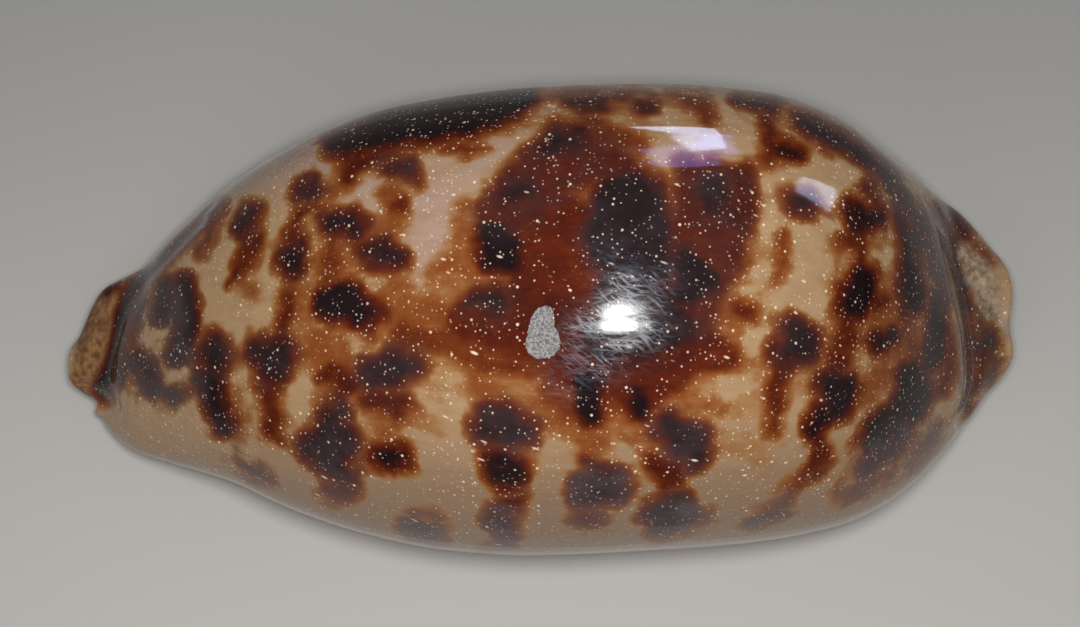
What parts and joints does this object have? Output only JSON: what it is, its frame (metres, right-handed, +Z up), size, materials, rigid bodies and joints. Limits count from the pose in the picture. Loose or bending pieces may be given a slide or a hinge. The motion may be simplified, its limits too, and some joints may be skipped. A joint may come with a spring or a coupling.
{
  "type": "cowrie shell",
  "caption": "Hollow egg-shaped cowrie shell with a domed glossy back, a long toothed slit underneath and a lobed canal at each end; rests on its base.",
  "frame": {"origin": "on the surface that the shell rests on, under the middle of its bounding box", "axes": "+X towards the posterior end, along the shell; +Y towards the outer lip; +Z up, from the base to the back"},
  "size_m": [0.1154, 0.0558, 0.048],
  "materials": {
    "glazed_shell": "polished"
  },
  "bodies": {
    "root": {"shell": "glazed_shell"}
  },
  "joints": []
}
